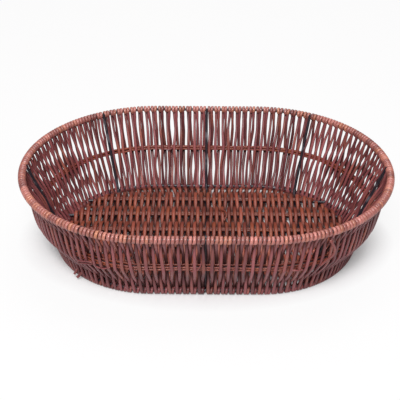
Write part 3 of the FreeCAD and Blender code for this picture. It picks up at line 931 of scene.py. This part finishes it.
class BASKET_OT_weave_cords(bpy.types.Operator):
    """Lash the rim, weave the wall and carry the cords across the base"""

    bl_idname = "basket.weave_cords"
    bl_label = "Weave Cords"

    def weave_walls(self, settings, random):
        """Weave the wall and the rim; returns each pair with where its two cords end."""
        ends = {}
        for stretch in all_stretches(settings):
            lashings = CordPiece(f"lashing_cords_{stretch.name}")
            walls = CordPiece(f"wall_cords_{stretch.name}")
            for index in range(stretch.pairs):
                pair = Pair(stretch, index, settings, random)
                ends[stretch.quarter, stretch.part, index] = (
                    pair, *add_pair(pair, lashings, walls))
            lashings.build(cord_material("rim_cord"), [f"rim_lashing_{stretch.name}"])
            walls.build(cord_material("wall_cord"), [
                f"wall_weave_{level}_{stretch.name}" for level in ("upper", "lower")])
        return ends

    def crossing_lines(self, settings, ends, side):
        """The pairs of one side that cross the base, each with its line's distance out."""
        side_lines, end_lines = base_lines(settings)[:2]
        crossing = {("side", index): line for index, line in enumerate(side_lines)}
        free = list(range(settings.end_pairs))
        for line in end_lines:
            places = [abs(abs(ends[(side, FRONT), "end", index][1][0]) - line)
                      for index in free]
            crossing["end", free.pop(int(np.argmin(places)))] = line
        return crossing

    def weave_base(self, settings, random, ends):
        """Carry the cords across the base, and tuck in those that stop at its ends."""
        base_outer = CordPiece("base_cords_over_ring")
        base_inner = CordPiece("base_cords_inside_ring")
        pitch = base_lines(settings)[2]
        keys = [("side", index) for index in range(settings.side_pairs)]
        keys += [("end", index) for index in range(settings.end_pairs)]
        for side in (LEFT, RIGHT):
            crossing = self.crossing_lines(settings, ends, side)
            for key in keys:
                front = ends[((side, FRONT), *key)]
                back = ends[((side, BACK), *key)]
                for piece, cord, slot in ((base_outer, "outer", 1), (base_inner, "inner", 2)):
                    if key in crossing:
                        place = (side * crossing[key], pitch / 4)
                        add_base_cord(piece, settings, cord, front[slot], back[slot], place,
                                      front[0].tint, front[0].phase, random)
                    else:
                        for row in (front, back):
                            add_tucked_end(piece, settings, row[slot], row[0])
        base_outer.build(cord_material("base_cord"), ["base_weave_upper", "base_edge_lashing"])
        base_inner.build(cord_material("base_cord"), [
            f"base_weave_lower_{part}" for part in ("left_end", "left", "right", "right_end")])

    def execute(self, context):
        settings = context.scene.basket_cord
        random = np.random.default_rng(settings.seed)
        self.weave_base(settings, random, self.weave_walls(settings, random))
        return {"FINISHED"}


# Shares of a full cord's width, and places round the hoop wire on its outer side.
RUNNER_SHARE = {"outer": 0.58, "inner": 0.72}
RUNNER_ANGLES = {"upper": math.radians(52.0), "lower": math.radians(-14.0)}
# Distance of an inner runner from the hoop's middle, as a share of its width.
RUNNER_APART = 0.56
RUNNER_FLATNESS = 0.9
RUNNER_TINT = 0.45
RUNNER_TINTS = (0.3, 0.6)
HOOP_STEPS, HOOP_KNOTS = 120, 26
LAID_STEPS, LAID_KNOTS = 90, 30
LAID_SPREAD = 1.03
LAID_GAP = 0.0002
# Shares of the unevenness along a runner, and of that stray across it.
HOOP_STRAY, LAID_STRAY, STRAY_ACROSS = 0.5, 0.4, 0.4


class BASKET_OT_wind_runners(bpy.types.Operator):
    """Lay the runner cords round the hoop and along the base wires"""

    bl_idname = "basket.wind_runners"
    bl_label = "Wind Runners"

    def hoop_runner(self, settings, random, face, level, material):
        """One runner cord all the way round, on one face of the hoop wire."""
        node = f"hoop_runner_cord_{face}_{level}"
        width = settings.width * RUNNER_SHARE[face]
        if face == "outer":
            reach = (HOOP_WIRE + width) / 2
            angle = RUNNER_ANGLES[level]
            middle = HOOP_OUT + reach * math.cos(angle)
            down = HOOP_DOWN - reach * math.sin(angle)
            thickness = width
        else:
            thickness = HOOP_OUTER - HOOP_OUT - HOOP_WIRE / 2
            middle = thickness / 2 - HOOP_INNER
            down = HOOP_DOWN + (-width if level == "upper" else width) * RUNNER_APART
        radius = wall_level(down)
        piece = CordPiece(f"{node}_wound")
        points = []
        for side, depth in ((LEFT, BACK), (LEFT, FRONT), (RIGHT, FRONT), (RIGHT, BACK)):
            length = STRAIGHT + radius * math.pi / 2
            along = np.linspace(0.0, length, HOOP_STEPS, endpoint=False)
            if side * depth > 0:
                along = length - along
            wave = random.normal(0.0, settings.unevenness * HOOP_STRAY, HOOP_KNOTS)
            stray = np.interp(along, np.linspace(0, length, HOOP_KNOTS),
                              [0.0, *wave[1:-1], 0.0])
            points.append(wall_points((side, depth), along, down + stray,
                                      middle + stray * STRAY_ACROSS)[0])
        path = np.concatenate(points)
        path = np.concatenate([path, path[:1]])
        upward = np.tile(np.array([0.0, 0.0, 1.0]), (len(path), 1))
        piece.add(path, upward, width, thickness * RUNNER_FLATNESS, RUNNER_TINT)
        piece.build(material, [node])

    def base_runner(self, settings, random, name, material):
        """The two cords that lie side by side on one lengthwise base wire."""
        node = f"base_runner_cords_{name}"
        low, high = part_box(node)
        piece = CordPiece(f"{node}_laid")
        share = np.linspace(0.0, 1.0, LAID_STEPS)
        x = low.x + (high.x - low.x) * share
        middle = (low.y + high.y) / 2
        for offset in (-settings.width / 2, settings.width / 2):
            wave = random.normal(0.0, settings.unevenness * LAID_STRAY, LAID_KNOTS)
            stray = np.interp(share, np.linspace(0, 1, LAID_KNOTS), wave)
            y = middle + offset * LAID_SPREAD + stray
            z = (low.z + high.z) / 2 + stray * STRAY_ACROSS
            path = np.stack([x, y, z], -1)
            across = np.tile(np.array([0.0, 1.0, 0.0]), (LAID_STEPS, 1))
            tint = float(random.uniform(*RUNNER_TINTS))
            piece.add(path, across, settings.width, high.z - low.z - LAID_GAP, tint, tint)
        piece.build(material, [node])

    def execute(self, context):
        settings = context.scene.basket_cord
        random = np.random.default_rng(settings.seed + 1)
        for face in ("outer", "inner"):
            for level in ("upper", "lower"):
                self.hoop_runner(settings, random, face, level, cord_material("hoop_cord"))
        for name in BAND_NODES:
            self.base_runner(settings, random, name, cord_material("runner_cord"))
        return {"FINISHED"}


# Loose ends on the wall: quarter, way round the oval, distance below the rim and
# distance outside the wall, in millimetres, then the share of a full cord's width.
WALL_STRAYS = (
    ((RIGHT, FRONT), ((91, 5, 3.2), (94, 12, 7.5), (93, 20, 8.4), (88, 28, 6.6), (85, 35, 5.6)), 0.8),
    ((LEFT, FRONT), ((84, 32, 5.2), (89, 31.5, 6.6), (95, 32.5, 7.6)), 0.55),
    ((LEFT, FRONT), ((84, 34.5, 5.2), (90, 34.8, 6.8), (95, 36, 7.2)), 0.55),
    ((LEFT, FRONT), ((70, 33, 5.4), (75, 35.5, 6.4), (81, 36, 5.6)), 0.5),
    ((LEFT, FRONT), ((100, 62, 0.5), (101, 65, 3.4), (102, 66.5, 6.4)), 0.85),
    ((LEFT, FRONT), ((105, 60, 0.5), (105, 62.5, 3.2), (105.5, 65, 5.6)), 0.8),
    ((RIGHT, FRONT), ((62, 33.5, 5.2), (66, 33, 6.4), (71, 34.5, 5.6)), 0.5),
    ((LEFT, FRONT), ((3, 24, 2.4), (4, 29, 4.2), (7, 33.0, 5.2), (11, 34.5, 4.8)), 0.42),
    ((RIGHT, BACK), ((64, 30, -3.0), (66, 38, -6.0), (65, 44, -4.4)), 0.5),
    ((LEFT, BACK), ((30, 34, -3.0), (33, 36, -4.8), (38, 35, -4.0)), 0.5),
)
# Loose ends on the base: points in millimetres from the middle, then the share of width.
BASE_STRAYS = (
    (((12, 26, 10.4), (16, 22, 12.6), (18, 15, 12.4), (15, 9, 10.8)), 0.6),
    (((-62, -8, 10.6), (-66, -3, 12.4), (-64, 4, 11.2)), 0.55),
)
STRAY_STEPS = 14
STRAY_PASSES = 3
STRAY_TINTS = (0.1, 0.4)
# A direction that no loose end runs along, from which its width's direction comes.
STRAY_ASIDE = (0.3, 0.5, 0.8)


class BASKET_OT_leave_strays(bpy.types.Operator):
    """Leave the few loose ends of cord that stand off the wall and the base"""

    bl_idname = "basket.leave_strays"
    bl_label = "Leave Stray Ends"

    def smooth(self, points):
        """A soft curve through hand-set points, as many small steps."""
        points = np.array(points, float)
        knots = np.arange(len(points))
        places = np.linspace(0, len(points) - 1, STRAY_STEPS)
        lines = np.stack([np.interp(places, knots, column) for column in points.T], -1)
        for _ in range(STRAY_PASSES):
            lines[1:-1] = (lines[:-2] + 2 * lines[1:-1] + lines[2:]) / 4
        return lines

    def add(self, piece, path, share, settings, random):
        """Add one loose end as a round cord."""
        forward = np.gradient(path, axis=0)
        across = np.cross(forward, STRAY_ASIDE)
        across /= np.linalg.norm(across, axis=1, keepdims=True)
        width = settings.width * share
        piece.add(path, across, width, width, float(random.uniform(*STRAY_TINTS)))

    def execute(self, context):
        settings = context.scene.basket_cord
        random = np.random.default_rng(settings.seed + 2)
        on_wall = CordPiece("stray_ends_on_wall")
        on_base = CordPiece("stray_ends_on_base")
        for quarter, points, share in WALL_STRAYS:
            along, down, out = (self.smooth(points) / 1000).T
            path = wall_points(quarter, along, down, out)[0]
            self.add(on_wall, path, share, settings, random)
        for points, share in BASE_STRAYS:
            self.add(on_base, self.smooth(points) / 1000, share, settings, random)
        on_wall.build(cord_material("wall_cord"), [])
        on_base.build(cord_material("base_cord"), [])
        return {"FINISHED"}


def add_area_light(name, power, size, place):
    """Add a soft square light that points from a place at the basket's middle."""
    light = bpy.data.lights.new(name, "AREA")
    light.energy = power
    light.size = size
    thing = bpy.data.objects.new(name, light)
    thing.location = place
    thing.rotation_euler = (Vector(LIGHT_AIM) - Vector(place)).to_track_quat("-Z", "Y").to_euler()
    bpy.context.scene.collection.objects.link(thing)


# Width and place of each light, which points at the basket's middle.
KEY_SIZE, KEY_PLACE = 0.5, (-0.15, -0.90, 1.20)
TOP_SIZE, TOP_PLACE = 1.0, (0.1, 0.5, 1.3)
LIGHT_AIM = (0.0, 0.0, 0.0)
SENSOR = 36.0
SHIFT_X, SHIFT_Y = -0.0152, 0.0082
WHITE = (1.0, 1.0, 1.0, 1.0)
FLOOR_HALF = 6.0
FLOOR_GAP = 0.0001
FLOOR_ROUGHNESS = 0.9
FLOOR_GLOSS = 0.1
# Where the floor's white glow starts and ends, in sizes of the base, and its greatest share.
GLOW_SPAN = (0.95, 1.30)
GLOW_SHARES = (0.0, 0.88)


class BASKET_OT_set_stage(bpy.types.Operator):
    """Set up the floor, the lights and the camera"""

    bl_idname = "basket.set_stage"
    bl_label = "Set Stage"

    def floor(self, settings):
        """A wide pale floor, which glows white to the camera away from the base."""
        mesh = bpy.data.meshes.new("floor")
        corners = [(x * FLOOR_HALF, y * FLOOR_HALF, 0.0)
                   for x, y in ((-1, -1), (1, -1), (1, 1), (-1, 1))]
        mesh.from_pydata(corners, [], [(0, 1, 2, 3)])
        thing = bpy.data.objects.new("floor", mesh)
        thing.location.z = CAD_BOX[0][2] - FLOOR_GAP
        bpy.context.scene.collection.objects.link(thing)
        material, tree, shader = start_material("pale_floor")
        shader.inputs["Base Color"].default_value = (*settings.floor_tone, 1.0)
        shader.inputs["Roughness"].default_value = FLOOR_ROUGHNESS
        shader.inputs["Specular IOR Level"].default_value = FLOOR_GLOSS
        place = add_node(tree, "ShaderNodeTexCoord")
        shrink = (1 / (STRAIGHT + BASE_RADIUS), 1 / BASE_RADIUS, 0.0)
        scaled = add_vector(tree, "MULTIPLY", place.outputs["Object"], shrink)
        away = add_node(tree, "ShaderNodeVectorMath", [(0, scaled)], operation="LENGTH")
        clear = add_range(tree, away.outputs["Value"], GLOW_SPAN, GLOW_SHARES)
        seen = add_node(tree, "ShaderNodeLightPath")
        share = add_math(tree, "MULTIPLY", seen.outputs["Is Camera Ray"], clear)
        glow = add_node(tree, "ShaderNodeEmission", [("Color", WHITE)])
        mixed = add_node(tree, "ShaderNodeMixShader", [
            (0, share), (1, shader.outputs[0]), (2, glow.outputs[0])])
        tree.links.new(mixed.outputs[0], tree.nodes["Material Output"].inputs["Surface"])
        mesh.materials.append(material)

    def camera(self, settings):
        """The camera looks down at the middle of the basket from the front."""
        aim = Vector((0.0, 0.0, RIM_HEIGHT / 2))
        back = Vector((0.0, -math.cos(settings.elevation), math.sin(settings.elevation)))
        data = bpy.data.cameras.new("camera")
        data.lens = settings.lens
        data.sensor_width = SENSOR
        data.shift_x = SHIFT_X
        data.shift_y = SHIFT_Y
        thing = bpy.data.objects.new("camera", data)
        turn = (-back).to_track_quat("-Z", "Y").to_matrix().to_4x4()
        roll = Matrix.Rotation(settings.roll, 4, "Z")
        thing.matrix_world = Matrix.Translation(aim + back * settings.distance) @ turn @ roll
        bpy.context.scene.collection.objects.link(thing)
        bpy.context.scene.camera = thing

    def execute(self, context):
        settings = context.scene.basket_stage
        self.floor(settings)
        self.camera(settings)
        add_area_light("key_light", settings.key_power, KEY_SIZE, KEY_PLACE)
        add_area_light("top_light", settings.top_power, TOP_SIZE, TOP_PLACE)
        world = bpy.data.worlds.new("studio")
        world.use_nodes = True
        background = world.node_tree.nodes["Background"]
        background.inputs["Color"].default_value = WHITE
        background.inputs["Strength"].default_value = settings.surround
        context.scene.world = world
        context.scene.view_settings.view_transform = "Standard"
        return {"FINISHED"}


class BASKET_PT_sidebar(bpy.types.Panel):
    """Settings and steps of the bread basket"""

    bl_idname = "BASKET_PT_sidebar"
    bl_label = "Bread Basket"
    bl_space_type = "VIEW_3D"
    bl_region_type = "UI"
    bl_category = "Basket"

    def draw(self, context):
        layout = self.layout
        scene = context.scene
        for group in (scene.basket_cord, scene.basket_finish, scene.basket_stage):
            box = layout.box()
            for name in group.__annotations__:
                box.prop(group, name)
        for operator in STEPS:
            layout.operator(operator.bl_idname)


SETTINGS = (
    ("basket_cord", BasketCordSettings),
    ("basket_finish", BasketFinishSettings),
    ("basket_stage", BasketStageSettings),
)
STEPS = (
    BASKET_OT_paint_wires,
    BASKET_OT_weave_cords,
    BASKET_OT_wind_runners,
    BASKET_OT_leave_strays,
    BASKET_OT_set_stage,
)


def register():
    for name, kind in SETTINGS:
        bpy.utils.register_class(kind)
        setattr(bpy.types.Scene, name, PointerProperty(type=kind))
    for kind in (*STEPS, BASKET_PT_sidebar):
        bpy.utils.register_class(kind)


def unregister():
    for kind in reversed((*STEPS, BASKET_PT_sidebar)):
        bpy.utils.unregister_class(kind)
    for name, kind in reversed(SETTINGS):
        delattr(bpy.types.Scene, name)
        bpy.utils.unregister_class(kind)


def main():
    """Build the basket around the frame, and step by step."""
    register()
    bpy.ops.basket.paint_wires()
    bpy.ops.basket.weave_cords()
    bpy.ops.basket.wind_runners()
    bpy.ops.basket.leave_strays()
    bpy.ops.basket.set_stage()


if __name__ == "__main__":
    main()
